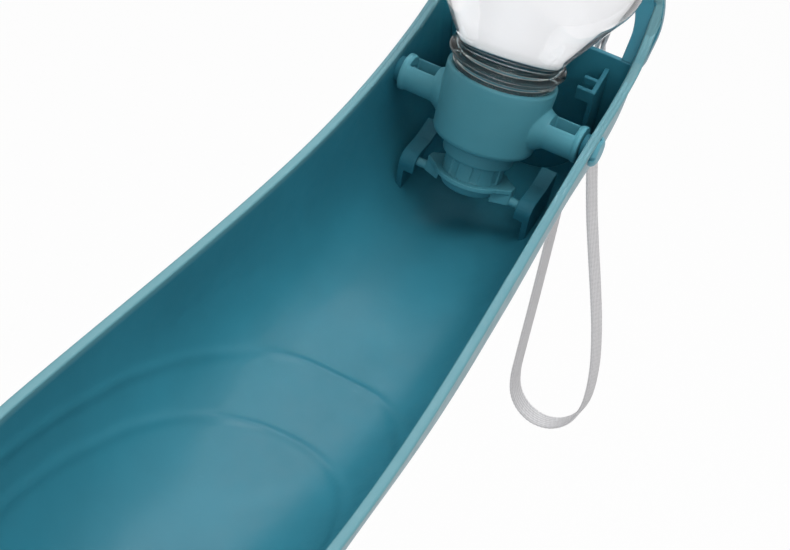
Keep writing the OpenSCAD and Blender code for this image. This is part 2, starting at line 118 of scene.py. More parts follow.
# ---------------------------------------------------------------- materials
class Nodes:
    """A short way to write a node tree."""

    def __init__(self, name):
        self.mat = bpy.data.materials.new(name)
        self.mat.use_nodes = True
        self.tree = self.mat.node_tree
        self.shader = self.tree.nodes["Principled BSDF"]
        self.out = self.tree.nodes["Material Output"]

    def add(self, kind, **settings):
        node = self.tree.nodes.new(kind)
        for key, value in settings.items():
            if key.startswith("in_"):
                node.inputs[key[3:].replace("_", " ")].default_value = value
            else:
                setattr(node, key, value)
        return node

    def link(self, a, b):
        self.tree.links.new(a, b)


def ramp(n, source, low, high, out_low, out_high):
    node = n.add("ShaderNodeMapRange", clamp=True)
    n.link(source, node.inputs["Value"])
    ends = {"From Min": low, "From Max": high, "To Min": out_low, "To Max": out_high}
    for key, value in ends.items():
        node.inputs[key].default_value = value
    return node.outputs["Result"]


def blend_colour(n, factor, a, b):
    node = n.add("ShaderNodeMix", data_type="RGBA")
    for key, value in (("A", a), ("B", b)):
        socket = [s for s in node.inputs if s.name == key and s.type == "RGBA"][0]
        if hasattr(value, "is_output"):
            n.link(value, socket)
        else:
            socket.default_value = (*value, 1.0)
    fac = [s for s in node.inputs if s.name == "Factor" and s.type == "VALUE"][0]
    n.link(factor, fac)
    return [s for s in node.outputs if s.type == "RGBA"][0]


def scaled(colour, k):
    return tuple(min(1.0, c * k) for c in colour)


def bump(n, height, strength, distance):
    node = n.add("ShaderNodeBump")
    node.inputs["Strength"].default_value = strength
    node.inputs["Distance"].default_value = distance
    n.link(height, node.inputs["Height"])
    n.link(node.outputs["Normal"], n.shader.inputs["Normal"])


def moulded_plastic(name, colour, rough=0.40, edge=None, outer=None, specular=0.42):
    """Injection-moulded plastic: faint cloudiness, uneven gloss, fine satin grain, light scuffs;
    with edge and outer given, a painted highlight on the lip and a painted sheen on the outer wall.
    """
    n = Nodes(name)
    where = n.add("ShaderNodeTexCoord").outputs["Object"]
    cloud = n.add("ShaderNodeTexNoise", in_Scale=38.0, in_Detail=3.0)
    n.link(where, cloud.inputs["Vector"])
    tone = blend_colour(n, ramp(n, cloud.outputs["Fac"], 0.3, 0.7, 0, 1),
                        scaled(colour, 0.94), scaled(colour, 1.06))
    # Painted sheen: paler colour on the outward-facing wall below the lip, as if light grazes it.
    if outer:
        outer_sheen = n.add("ShaderNodeAttribute", attribute_name="outer")
        tone = blend_colour(n, outer_sheen.outputs["Fac"], tone, outer)
    # Painted highlight: the colour is lightened along the top of the lip, where the edge attribute
    # is set.
    if edge:
        lit = n.add("ShaderNodeAttribute", attribute_name="edge")
        tone = blend_colour(n, lit.outputs["Fac"], tone, edge)
    n.link(tone, n.shader.inputs["Base Color"])
    gloss = n.add("ShaderNodeTexNoise", in_Scale=170.0, in_Detail=4.0)
    n.link(where, gloss.inputs["Vector"])
    scuff = n.add("ShaderNodeTexNoise", in_Scale=420.0, in_Detail=2.0, in_Distortion=1.6)
    n.link(where, scuff.inputs["Vector"])
    added = n.add("ShaderNodeMath", operation="ADD")
    n.link(ramp(n, gloss.outputs["Fac"], 0.3, 0.7, rough - GLOSS_SPREAD, rough + GLOSS_SPREAD),
           added.inputs[0])
    n.link(ramp(n, scuff.outputs["Fac"], 0.62, 0.72, 0.0, 0.08), added.inputs[1])
    n.link(added.outputs[0], n.shader.inputs["Roughness"])
    fine = n.add("ShaderNodeTexNoise", in_Scale=2600.0, in_Detail=2.0)
    n.link(where, fine.inputs["Vector"])
    bump(n, fine.outputs["Fac"], GRAIN, 0.00005)
    n.shader.inputs["IOR"].default_value = MOULDED_IOR
    n.shader.inputs["Specular IOR Level"].default_value = specular
    return n.mat


def rubber(name, colour, rough):
    """Soft rubber with a little dust on it."""
    n = Nodes(name)
    where = n.add("ShaderNodeTexCoord").outputs["Object"]
    dust = n.add("ShaderNodeTexNoise", in_Scale=300.0, in_Detail=5.0)
    n.link(where, dust.inputs["Vector"])
    tone = blend_colour(n, ramp(n, dust.outputs["Fac"], 0.4, 0.7, 0, 1),
                        colour, scaled(colour, 1.25))
    n.link(tone, n.shader.inputs["Base Color"])
    n.link(ramp(n, dust.outputs["Fac"], 0.3, 0.7, rough - 0.08, rough + 0.08),
           n.shader.inputs["Roughness"])
    bump(n, dust.outputs["Fac"], 0.15, 0.0001)
    return n.mat


def clear_plastic(name):
    """Blown clear plastic: clear with a dark painted-shade tint at the neck, a little milky on the
    body, faint flow marks.
    """
    n = Nodes(name)
    where = n.add("ShaderNodeTexCoord").outputs["Object"]
    flow = n.add("ShaderNodeTexNoise", in_Scale=24.0, in_Detail=2.0)
    n.link(where, flow.inputs["Vector"])
    bump(n, flow.outputs["Fac"], 0.02, 0.001)
    neck_shade_to_body_haze = n.add("ShaderNodeAttribute", attribute_name="neck_shade_to_body_haze")
    # Painted shade: the neck is tinted dark where the cap's dark inside shows through; the body is
    # near white.
    n.link(blend_colour(n, neck_shade_to_body_haze.outputs["Fac"], NECK_SHADE_TINT, BODY_TINT),
           n.shader.inputs["Base Color"])
    wear = n.add("ShaderNodeTexNoise", in_Scale=600.0, in_Detail=3.0)
    n.link(where, wear.inputs["Vector"])
    n.link(ramp(n, wear.outputs["Fac"], 0.55, 0.75, 0.03, 0.09), n.shader.inputs["Roughness"])
    n.link(ramp(n, neck_shade_to_body_haze.outputs["Fac"], 0.0, 1.0, 1.0, BODY_CLEAR),
           n.shader.inputs["Transmission Weight"])
    n.shader.inputs["IOR"].default_value = BOTTLE_IOR
    return n.mat


def inner_plastic(name):
    """The inner face of the clear wall, which adds no bending of light of its own."""
    n = Nodes(name)
    n.shader.inputs["Base Color"].default_value = (0.98, 0.99, 0.99, 1)
    n.shader.inputs["Roughness"].default_value = 0.0
    n.shader.inputs["Transmission Weight"].default_value = 1.0
    n.shader.inputs["IOR"].default_value = 1.0
    return n.mat


def webbing(name, colour):
    """Flat woven tape: a fine twill across, raised lengthwise ribs and pale flecks of fuzz."""
    n = Nodes(name)
    uv = n.add("ShaderNodeUVMap", uv_map="UVMap").outputs["UV"]
    split = n.add("ShaderNodeSeparateXYZ")
    n.link(uv, split.inputs[0])
    across, length = split.outputs["X"], split.outputs["Y"]

    def wave(value, per_mm, phase=0.0):
        times = n.add("ShaderNodeMath", operation="MULTIPLY_ADD")
        n.link(value, times.inputs[0])
        times.inputs[1].default_value = 2 * math.pi * per_mm
        times.inputs[2].default_value = phase
        sine = n.add("ShaderNodeMath", operation="SINE")
        n.link(times.outputs[0], sine.inputs[0])
        return sine.outputs[0]

    def combine(op, a, b):
        node = n.add("ShaderNodeMath", operation=op)
        n.link(a, node.inputs[0])
        n.link(b, node.inputs[1])
        return node.outputs[0]

    slanted = combine("ADD", across, length)
    twill = combine("MULTIPLY", wave(slanted, 1.05), wave(across, 1.25))
    ribs = wave(across, 0.85)
    picks = wave(length, 1.5)
    weave = combine("ADD", combine("MULTIPLY", twill, picks), ribs)
    height = ramp(n, weave, -1.6, 1.6, 0.0, 1.0)
    fuzz = n.add("ShaderNodeTexNoise", in_Scale=1400.0, in_Detail=4.0)
    n.link(n.add("ShaderNodeTexCoord").outputs["Object"], fuzz.inputs["Vector"])
    # Painted shade: the low parts of the weave are coloured darker than the raised parts.
    shaded_yarn = blend_colour(n, height, scaled(colour, 0.70), scaled(colour, 1.12))
    fluff = ramp(n, fuzz.outputs["Fac"], 0.35, 0.75, 0.0, 0.35)
    n.link(blend_colour(n, fluff, shaded_yarn, scaled(colour, 1.25)), n.shader.inputs["Base Color"])
    bump(n, height, 0.55, 0.0003)
    n.shader.inputs["Roughness"].default_value = 0.82
    n.shader.inputs["Sheen Weight"].default_value = 0.25
    n.shader.inputs["Sheen Roughness"].default_value = 0.5
    return n.mat


BOTTLE_IOR, MOULDED_IOR = 1.33, 1.46
GLOSS_SPREAD, GRAIN = 0.05, 0.10
# The neck's tint is painted shade; the body's tint and clearness are the plastic's own.
NECK_SHADE_TINT, BODY_TINT, BODY_CLEAR = (0.22, 0.27, 0.28), (0.95, 0.945, 0.965), 0.92
CAP_TEAL = (0.088, 0.330, 0.405)
TROUGH_TEAL = (0.030, 0.200, 0.272)
# Painted highlight: the lighter colour of the lip's top, also used for the band on the carry loop.
RIM_HIGHLIGHT_TEAL = (0.135, 0.320, 0.365)
# Painted sheen: the paler colour of the outer walls below the lip.
OUTER_SHEEN_TEAL = (0.100, 0.290, 0.355)
# Painted highlight: the pivot pins are coloured lighter than the trough plastic, like the lit lip.
PIN_HIGHLIGHT_TEAL = (0.105, 0.360, 0.450)
WEB_GREY = (0.72, 0.71, 0.725)

cap_mat = moulded_plastic("cap_plastic", CAP_TEAL, rough=0.46)
# The trough plastic carries a painted highlight on the lip and a painted sheen on the outer walls.
trough_mat = moulded_plastic("trough_plastic", TROUGH_TEAL, rough=0.36, edge=RIM_HIGHLIGHT_TEAL,
                             outer=OUTER_SHEEN_TEAL)
# Painted shade: a darker copy of the trough plastic for the claws, latches and pivot bosses, which
# sit in shadow.
shaded_fitting_mat = moulded_plastic("fitting_plastic_painted_shade", scaled(TROUGH_TEAL, 0.85), rough=0.5,
                              specular=0.25)
# Painted highlight: lighter teal for the pivot pins.
pin_mat = moulded_plastic("pin_plastic", PIN_HIGHLIGHT_TEAL, rough=0.42)
# Painted highlight: the band on the carry loop gets a colour close to that of the lit lip.
band_mat = moulded_plastic("band_plastic", scaled(RIM_HIGHLIGHT_TEAL, 0.85), rough=0.40)
bottle_mat = clear_plastic("bottle_plastic")
inner_mat = inner_plastic("bottle_inner_face")
web_mat = webbing("strap_webbing", WEB_GREY)
thread_mat = webbing("strap_thread", scaled(WEB_GREY, 1.3))
pale_mat = rubber("pale_rubber", (0.68, 0.68, 0.65), 0.55)
dark_mat = rubber("dark_rubber", (0.02, 0.02, 0.02), 0.45)


def dress(obj, mat):
    obj.data.materials.clear()
    obj.data.materials.append(mat)
    return obj


# ---------------------------------------------------------------- wrist strap
STRAP_W, STRAP_T = 8.0, 1.3
STRAP_X, STRAP_Y = -60, 16.2
STRAP_STEP, PICOT = 0.9, 0.2
SEWN_HALF_T = 1.42
# The hanging loop's route, in millimetres from the pivot
STRAP_ROUTE = [
    (-60.8, 16.2, 28), (-60.8, 16.6, 14), (-60.6, 17.6, -2), (-60.3, 19.6, -20), (-60, 22.8, -38),
    (-60, 26.4, -56), (-60, 30.6, -74), (-60, 35.8, -93), (-60, 41.2, -112), (-60, 46.2, -131),
    (-60, 50, -150), (-60, 51.4, -166), (-60, 50.6, -177), (-60, 47, -187), (-60, 40.6, -193.6),
    (-60, 33, -195.4), (-60, 26, -192.6), (-60, 20.8, -186), (-60, 18.4, -176), (-60, 18, -160),
    (-60, 17.9, -138), (-60, 17.7, -116), (-60, 17.4, -94), (-60, 17, -72), (-60, 16.5, -50),
    (-59.7, 16, -28), (-59.4, 15.6, -6), (-59.2, 15.7, 12), (-59.2, 16.2, 28),
]
TWIST_FROM, TWIST_TO, STRAP_TURN = 28.0, -14.0, 98.0


def ease(t):
    t = min(max(t, 0.0), 1.0)
    return t * t * (3 - 2 * t)


SPLINE_CUTS = 24


def spline(points, step):
    """A smooth line through the points, cut at even steps."""
    p = [Vector(q) for q in points]
    p = [2 * p[0] - p[1]] + p + [2 * p[-1] - p[-2]]
    line = []
    for i in range(1, len(p) - 2):
        for k in range(SPLINE_CUTS):
            t = k / SPLINE_CUTS
            a, b, c, d = p[i - 1], p[i], p[i + 1], p[i + 2]
            line.append(0.5 * ((2 * b) + (c - a) * t + (2 * a - 5 * b + 4 * c - d) * t * t
                               + (3 * b - a - 3 * c + d) * t ** 3))
    line.append(p[-2])
    total = sum((line[i + 1] - line[i]).length for i in range(len(line) - 1))
    count = max(2, round(total / step))
    cut, walked, i = [line[0]], 0.0, 0
    for k in range(1, count):
        goal = total * k / count
        while walked + (line[i + 1] - line[i]).length < goal:
            walked += (line[i + 1] - line[i]).length
            i += 1
        seg = line[i + 1] - line[i]
        cut.append(line[i] + seg * ((goal - walked) / seg.length))
    cut.append(line[-1])
    return cut, total


def band_profile(half_w, half_t, steps=7, flats=8):
    """Outline of flat tape with round edges: pairs across and through."""
    r = half_t
    out = []
    for side in (1, -1):
        for k in range(steps + 1):
            a = -side * math.pi / 2 + math.pi * k / steps
            out.append((side * (half_w - r) + r * math.cos(a), r * math.sin(a)))
        for k in range(1, flats):
            out.append((side * (half_w - r - (2 * half_w - 2 * r) * k / flats), side * r))
    return out


def sweep_band(name, line, wide_of, half_w, half_t, picot=0.0):
    """Flat tape along a line. wide_of gives its width's direction; picot notches its edges."""
    prof = band_profile(half_w, half_t)
    m = len(prof)
    verts, faces, uvs = [], [], []
    walked = 0.0
    for i, q in enumerate(line):
        a, b = line[max(i - 1, 0)], line[min(i + 1, len(line) - 1)]
        d = (b - a).normalized()
        w = wide_of(q, i)
        w = (w - d * w.dot(d)).normalized()
        t = d.cross(w)
        if i:
            walked += (q - line[i - 1]).length
        notch = picot if i % 2 == 0 else 0.0
        for x, y in prof:
            edge = notch if abs(x) > half_w - half_t * 0.6 else 0.0
            verts.append((PIVOT + q + w * (x - math.copysign(edge, x)) + t * y) * MM)
            uvs.append((x, walked))
    for i in range(len(line) - 1):
        for j in range(m):
            k = (j + 1) % m
            faces.append((i * m + j, i * m + k, (i + 1) * m + k, (i + 1) * m + j))
    faces.append(tuple(range(m))[::-1])
    faces.append(tuple((len(line) - 1) * m + j for j in range(m)))
    obj = add_mesh(name, verts, faces)
    layer = obj.data.uv_layers.new(name="UVMap")
    for loop in obj.data.loops:
        layer.data[loop.index].uv = uvs[loop.vertex_index]
    return obj


def strap_width(q, _i):
    """Direction of the strap's width, which twists on its way down."""
    t = math.radians(STRAP_TURN) * ease((TWIST_FROM - q.z) / (TWIST_FROM - TWIST_TO))
    return Vector((math.sin(t), math.cos(t), 0))


strap_line, strap_length = spline(STRAP_ROUTE, STRAP_STEP)
wrist_strap = sweep_band("strap_webbing_loop", strap_line, strap_width, STRAP_W / 2, STRAP_T / 2,
                         picot=0.22)
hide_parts("wrist_strap")
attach(wrist_strap, "trough")
dress(wrist_strap, web_mat)

# The wrapped and sewn end, round the top of the carry loop
LOOP_LEAN = math.atan(0.65)
BULKHEAD_X, BULKHEAD_TOP = 36.9, 12.6


def on_loop(x, y, v):
    """A point given in the leaning plane of the carry loop, in millimetres from the pivot."""
    c, s = math.cos(LOOP_LEAN), math.sin(LOOP_LEAN)
    return Vector((-BULKHEAD_X + x * c - v * s, y, BULKHEAD_TOP + x * s + v * c))


WRAP_TURN = math.radians(26)
WRAP_MID_V, WRAP_HALF_V, WRAP_FRONT, WRAP_BACK, WRAP_CORNER = 37.9, 8.1, 1.85, -5.9, 1.6


def wrap_line():
    """Closed route of the tape round the loop's band, in the plane across the band."""
    c = WRAP_CORNER
    corners = ((WRAP_FRONT - c, WRAP_HALF_V - c), (WRAP_BACK + c, WRAP_HALF_V - c),
               (WRAP_BACK + c, -WRAP_HALF_V + c), (WRAP_FRONT - c, -WRAP_HALF_V + c))
    pts = []
    for quarter, (cx, cv) in enumerate(corners):
        for k in range(5):
            a = math.radians(90 * quarter + 90 * k / 4)
            pts.append((cx + c * math.cos(a), cv + c * math.sin(a)))
    return [on_loop(x, STRAP_Y + v * math.sin(WRAP_TURN), WRAP_MID_V + v * math.cos(WRAP_TURN))
            for x, v in pts + pts[:1]]


def make_wrap():
    line, _ = spline(wrap_line(), STRAP_STEP)
    up_loop = on_loop(0, 0, 1) - on_loop(0, 0, 0)
    across = Vector((0, math.cos(WRAP_TURN), 0)) - up_loop * math.sin(WRAP_TURN)
    return sweep_band("strap_wrap", line, lambda q, i: across, STRAP_W / 2 - 0.1, STRAP_T / 2,
                      picot=PICOT)


wrap = make_wrap()
tail_line, _ = spline([(STRAP_X, STRAP_Y, z) for z in (41, 38, 34, 28)], STRAP_STEP)
tail = sweep_band("strap_sewn_tail", tail_line, strap_width, STRAP_W / 2 - 0.05, SEWN_HALF_T,
                  picot=PICOT)

STITCH_ROWS, STITCHES, STITCH_LONG, STITCH_ROUND = 3, 7, 7, 6
STITCH_R, STITCH_LENGTH, STITCH_ARC = 0.2, 0.85, 0.22


def stitches(name, side):
    """Rows of short lockstitches across the doubled tape."""
    verts, faces = [], []
    m = STITCH_ROUND
    for row in range(STITCH_ROWS):
        for k in range(STITCHES):
            y = STRAP_Y - 3.0 + k * 1.0
            z = 30.5 + row * 4.0 + (0.5 if k % 2 else -0.5)
            base = Vector((STRAP_X + side * (SEWN_HALF_T + 0.04), y, z))
            n0 = len(verts)
            for a in range(STITCH_LONG):
                t = a / (STITCH_LONG - 1)
                arc = math.sin(math.pi * t) * STITCH_ARC
                for b in range(m):
                    ang = 2 * math.pi * b / m
                    off = Vector((side * (arc - 0.1 + STITCH_R * math.cos(ang)),
                                  STITCH_LENGTH * (t - 0.5), STITCH_R * math.sin(ang)))
                    verts.append((PIVOT + base + off) * MM)
            for a in range(STITCH_LONG - 1):
                r0, r1 = n0 + a * m, n0 + (a + 1) * m
                for b in range(m):
                    c = (b + 1) % m
                    faces.append((r0 + b, r0 + c, r1 + c, r1 + b))
            last = n0 + (STITCH_LONG - 1) * m
            faces.append(tuple(n0 + b for b in range(m))[::-1])
            faces.append(tuple(last + b for b in range(m)))
    obj = add_mesh(name, verts, faces)
    obj.data.uv_layers.new(name="UVMap")
    return obj


sewn = [stitches("strap_stitches_front", 1), stitches("strap_stitches_back", -1)]
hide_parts("strap_sewn_end")
for piece in (wrap, tail):
    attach(piece, "trough")
    dress(piece, web_mat)
for piece in sewn:
    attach(piece, "trough")
    dress(piece, thread_mat)


# ---------------------------------------------------------------- trough
WALL, LIP_OUT = 2.0, 1.2
RIM_HALF, RIM_FLARE, TIP_X = 40.0, 9.6, 264.0
FLOOR_DEPTH, FLOOR_RISE = 47.5, 4.5
NOSE_W, NOSE_D, NOSE_POWER = 205.0, 210.0, 3.0
BODY_FROM, REAR_FROM = -32.0, -47.0
# Rings lie closer from LINES_FROM on, where the moulded lines are
LINES_FROM, REAR_RINGS, NOSE_RINGS = 96, 10, 90
SECTION_N, SECTION_FINE = 88, 400
# Moulded lines in the basin: height z against distance x, both from the pivot
LINE_NEAR = [(-46, 102.5), (-45.3, 103.2), (-38.7, 119), (-27.7, 141), (-16.6, 166),
             (-7.5, 194), (-0.2, 221), (6, 246)]
LINE_FAR = [(-46, 135.5), (-44, 136.2), (-43.2, 139), (-39.7, 147), (-33.7, 159.4), (-27, 175),
            (-19, 200), (-12.5, 227), (-7, 252)]
LINE_WALL = [(-47, 50), (-35, 68), (-28.8, 86), (-22.3, 111), (-17.1, 133), (-13, 155)]
LINE_H, LINE_W = 0.55, 1.3
CREASE_H, CREASE_W = 0.22, 1.6


def rim_z(x):
    if x > 75:
        return 0.6 + 0.00056 * (x - 75) ** 2
    return (0.6 + 0.00125 * (75 - x) ** 2 + 0.003 * max(0.0, -x - 10) ** 2
            + 0.01 * max(0.0, -x - 25) ** 2)


def rim_half_out(x):
    return RIM_HALF + RIM_FLARE * ease((x + 10) / 220) - 0.0018 * max(0.0, -x - 23) ** 2


def floor_z(x):
    return -FLOOR_DEPTH + FLOOR_RISE * ease((x - 30) / 150)


def section_power(x):
    return 3 + 0.4 * ease(x / 60) - 1.2 * ease((x - 90) / 100)


def draft(x):
    """Inward slope of the side walls."""
    return 0.06 - 0.02 * ease((x - 5) / 60)


def nose(x, start, tip):
    """How much of the width or depth is left on the way round the tip."""
    t = min(max((x - start) / (tip - start), 0.0), 1.0)
    return (1 - t ** NOSE_POWER) ** (1 / NOSE_POWER)


def rear_x(z):
    """Where the trough ends at its back: upright, then leaning with the carry loop."""
    return -BULKHEAD_X - max(0.0, z - BULKHEAD_TOP) * math.tan(LOOP_LEAN)


def section(x, inset, tip, drop):
    """Even points along one cross section of the wall, from below the left rim to the right."""
    half = rim_half_out(x) - LIP_OUT - inset
    narrow, slope = nose(x, NOSE_W, tip), draft(x)
    top = rim_z(x)
    depth = (top - floor_z(x) + WALL - inset) * nose(x, NOSE_D, tip)
    power = section_power(x)
    if depth < 0.01:
        return [Vector((x, 0, top))] * (SECTION_N + 1)
    first = math.asin((min(drop, 0.8 * depth) / depth) ** (power / 2))
    fine = []
    for i in range(SECTION_FINE + 1):
        a = first + (math.pi - 2 * first) * i / SECTION_FINE
        c, s = math.cos(a), math.sin(a)
        down = depth * abs(s) ** (2 / power)
        across = (half - slope * down) * narrow * math.copysign(abs(c) ** (2 / power), c)
        fine.append((-across, top - down))
    lengths = [0.0]
    for i in range(SECTION_FINE):
        lengths.append(lengths[-1] + math.dist(fine[i], fine[i + 1]))
    out, i = [], 0
    for k in range(SECTION_N + 1):
        goal = lengths[-1] * k / SECTION_N
        while i < SECTION_FINE - 1 and lengths[i + 1] < goal:
            i += 1
        t = (goal - lengths[i]) / max(1e-9, lengths[i + 1] - lengths[i])
        out.append(Vector((x, fine[i][0] + (fine[i + 1][0] - fine[i][0]) * t,
                           fine[i][1] + (fine[i + 1][1] - fine[i][1]) * t)))
    return out


def read_line(line, z):
    """Distance x of a moulded line at the height z."""
    for (z0, x0), (z1, x1) in zip(line, line[1:]):
        if z <= z1:
            return x0 + (x1 - x0) * max(0.0, (z - z0) / (z1 - z0))
    return line[-1][1]


def moulded_line(q, steep):
    """Height of the raised lines that run round the basin, and of a faint crease on its walls."""
    fade = ease((rim_z(q.x) - q.z - 2.5) / 3)
    h = 0.0
    for line in (LINE_NEAR, LINE_FAR):
        x = read_line(line, q.z)
        slant = (read_line(line, q.z + 2.0) - x) / 2.0 * steep
        h += LINE_H * math.exp(-((q.x - x) / (LINE_W * math.hypot(1.0, slant))) ** 2)
    crease = math.exp(-((q.x - read_line(LINE_WALL, q.z)) / CREASE_W) ** 2)
    crease *= ease((q.x - 70) / 20) * ease((150 - q.x) / 20)
    return (h - CREASE_H * crease) * fade


# Lip profile: inward from the lip's outer edge, and up from the rim
LIP = [(1.15, -2.25), (0.95, -1.98), (0.6, -1.88), (0.25, -1.78), (0.04, -1.45), (0.0, -1.1),
       (0.02, -0.6), (0.15, -0.2), (0.5, 0.0), (1.15, 0.0), (1.3, -0.05), (1.45, -0.25),
       (1.6, -0.05), (1.75, 0.0), (2.5, 0.0), (2.9, -0.08), (3.12, -0.3), (3.2, -0.7)]
# Points of the profile that form the groove along the rear of the rim
GROOVE = (10, 11, 12)
LIP_DROP_OUT, LIP_DROP_IN = 2.6, 1.3


def lip(side, x_lip, outer, inner, groove):
    """Points over the lip, between the top of the outer wall and the top of the inner wall."""
    top = rim_z(x_lip)
    edge = Vector((x_lip, side * rim_half_out(x_lip) * nose(x_lip, NOSE_W, TIP_X), top))
    wall = Vector((outer.x, outer.y, top))
    inside = Vector((inner.x, inner.y, top))
    scale = min(1.0, (top - outer.z) / LIP_DROP_OUT)
    pts = []
    for k, (inward, u) in enumerate(LIP):
        if inward <= LIP_OUT:
            q = edge.lerp(wall, inward / LIP_OUT)
        else:
            q = wall.lerp(inside, (inward - LIP_OUT) / WALL)
        pts.append(q + Vector((0, 0, u * scale * (groove if k in GROOVE else 1.0))))
    return pts


def ring(x_lip, x_out, x_in, groove=0.0):
    """One closed ring: outer wall, right lip, inner wall back, left lip."""
    outer = section(x_out, 0, TIP_X - LIP_OUT, LIP_DROP_OUT)
    inner = section(x_in, WALL, TIP_X - LIP_OUT - WALL, LIP_DROP_IN)
    raised = []
    for k, q in enumerate(inner):
        a, b = inner[max(k - 1, 0)], inner[min(k + 1, SECTION_N)]
        d = b - a
        up = Vector((0, -d.z, d.y)).normalized() if d.length > 1e-6 else Vector((0, 0, 1))
        steep = abs(d.z) / d.length if d.length > 1e-6 else 0.0
        raised.append(q + up * moulded_line(q, steep))
    right = lip(1, x_lip, outer[-1], inner[-1], groove)
    left = lip(-1, x_lip, outer[0], inner[0], groove)
    return outer + right + raised[::-1] + left[::-1]


def flat_ring(x, groove):
    return ring(x, x, x, groove)


def spread(start, stop, count):
    return [start + (stop - start) * i / count for i in range(count)]


def trough_rings():
    rings = []
    for k in range(REAR_RINGS):
        t = k / REAR_RINGS
        x = REAR_FROM * (1 - t) + BODY_FROM * t
        rings.append([Vector((rear_x(q.z) * (1 - t) + BODY_FROM * t, q.y, q.z))
                      for q in flat_ring(x, 1.0)])
    for x in spread(BODY_FROM, LINES_FROM, 70) + spread(LINES_FROM, NOSE_W, 104):
        rings.append(flat_ring(x, ease((60 - x) / 60)))
    tips = (TIP_X, TIP_X - LIP_OUT, TIP_X - LIP_OUT - WALL)
    for i in range(NOSE_RINGS + 1):
        s = 1.0
        if i < NOSE_RINGS:
            s = math.sin(math.radians(89.6 * math.sin(math.radians(i))))
        rings.append(ring(*(NOSE_W + (tip - NOSE_W) * s for tip in tips)))
    return rings


def make_trough():
    rings = trough_rings()
    m = len(rings[0])
    verts = [(PIVOT + q) * MM for r in rings for q in r]
    faces = []
    for i in range(len(rings) - 1):
        for j in range(m):
            k = (j + 1) % m
            faces.append((i * m + j, (i + 1) * m + j, (i + 1) * m + k, i * m + k))
    # close the rear end between the outer and the inner wall
    n, lips = SECTION_N + 1, len(LIP)
    outer_ids = list(range(n))
    inner_ids = list(range(n + lips, 2 * n + lips))[::-1]
    for k in range(n - 1):
        faces.append((outer_ids[k], inner_ids[k], inner_ids[k + 1], outer_ids[k + 1]))
    faces.append(tuple([outer_ids[-1], *range(n, n + lips), inner_ids[-1]])[::-1])
    faces.append(tuple([inner_ids[0], *range(2 * n + lips, 2 * n + 2 * lips), outer_ids[0]])[::-1])
    obj = add_mesh("trough_basin", verts, faces)
    mend_normals(obj, merge=0.000002)
    edge = obj.data.attributes.new("edge", "FLOAT", "POINT")
    outer = obj.data.attributes.new("outer", "FLOAT", "POINT")
    for i, v in enumerate(obj.data.vertices):
        q = v.co / MM - PIVOT
        below = rim_z(min(q.x, TIP_X)) - q.z
        # Painted highlight on the top 2 to 2.7 mm of the lip.
        edge.data[i].value = ease((2.7 - below) / 0.7) * 0.85
        # Painted sheen on the outward-facing wall, from about 2 mm below the rim down.
        facing = v.normal.y * (1 if q.y > 0 else -1)
        outer.data[i].value = ease((facing - 0.1) / 0.4) * ease((below - 1.9) / 0.8) * 0.8
    return obj


trough = make_trough()
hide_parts("trough_shell")
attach(trough, "trough")
dress(trough, trough_mat)


LOOP_HALF, LOOP_STRAIGHT, LOOP_RISE, LOOP_TAPER = 39.6, 12.0, 36.0, 0.8
BAND_HALF_W, BAND_HALF_T, BAND_PROUD = 1.75, 1.0, 0.2
RIM_FACE = Vector((0.55, 0, 1)).normalized()
LOOP_FACE = Vector((0.84, 0, 0.545))


def loop_edge(v):
    """Half width of the carry loop at a distance up its leaning plane."""
    if v <= LOOP_STRAIGHT:
        return LOOP_HALF - LOOP_TAPER * (LOOP_STRAIGHT - v) / LOOP_STRAIGHT
    return LOOP_HALF * math.sqrt(max(0.0, 1 - ((v - LOOP_STRAIGHT) / LOOP_RISE) ** 2))


def loop_band():
    """The trough's lip, which runs on up the edge of the carry loop and down the other side."""
    half_w, half_t = BAND_HALF_W, BAND_HALF_T
    side = []
    for x, sunk in ((-14.0, 0.9), (-20.0, 0.35), (-26.0, 0.0), (-32.0, -0.12), (-36.5, -0.15)):
        side.append(Vector((x, rim_half_out(x) - half_w - 0.1, rim_z(x) - half_t - sunk)))
    for v in (21.5, 25.0, 28.5, 32.5, 36.5, 40.0, 43.0, 45.3):
        up = (v - LOOP_STRAIGHT) * (1 - half_w / LOOP_RISE)
        side.append(on_loop(BAND_PROUD, loop_edge(v) * (1 - half_w / LOOP_HALF),
                            LOOP_STRAIGHT + up))
    points = side + [on_loop(BAND_PROUD, 0, LOOP_STRAIGHT + LOOP_RISE - half_w)]
    points += [Vector((q.x, -q.y, q.z)) for q in side[::-1]]
    line, _ = spline(points, 0.8)

    def wide(q, i):
        a, b = line[max(i - 1, 0)], line[min(i + 1, len(line) - 1)]
        along = (b - a).normalized()
        lean = ease((-q.x - 30) / 14)
        face = (RIM_FACE * (1 - lean) + LOOP_FACE * lean).normalized()
        return along.cross(face)

    return sweep_band("loop_edge_band", line, wide, half_w, half_t)


band = loop_band()
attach(band, "trough")
dress(band, band_mat)


# ---------------------------------------------------------------- moulded pieces
WELD_DIST = 0.00001


def softened(node, name, mat, body, voxel, rounds):
    """A closely meshed copy of a solid, with the small soft edges that moulding gives."""
    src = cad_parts[node]
    obj = bpy.data.objects.new(name, src.data.copy())
    bpy.context.scene.collection.objects.link(obj)
    weld = obj.modifiers.new("weld", "WELD")
    weld.merge_threshold = WELD_DIST
    remesh = obj.modifiers.new("voxels", "REMESH")
    remesh.mode = "VOXEL"
    remesh.voxel_size = voxel * MM
    remesh.use_smooth_shade = True
    smooth = obj.modifiers.new("smooth", "SMOOTH")
    smooth.factor = 0.5
    smooth.iterations = rounds
    apply_modifiers(obj)
    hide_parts(node)
    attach(obj, body)
    return dress(obj, mat)


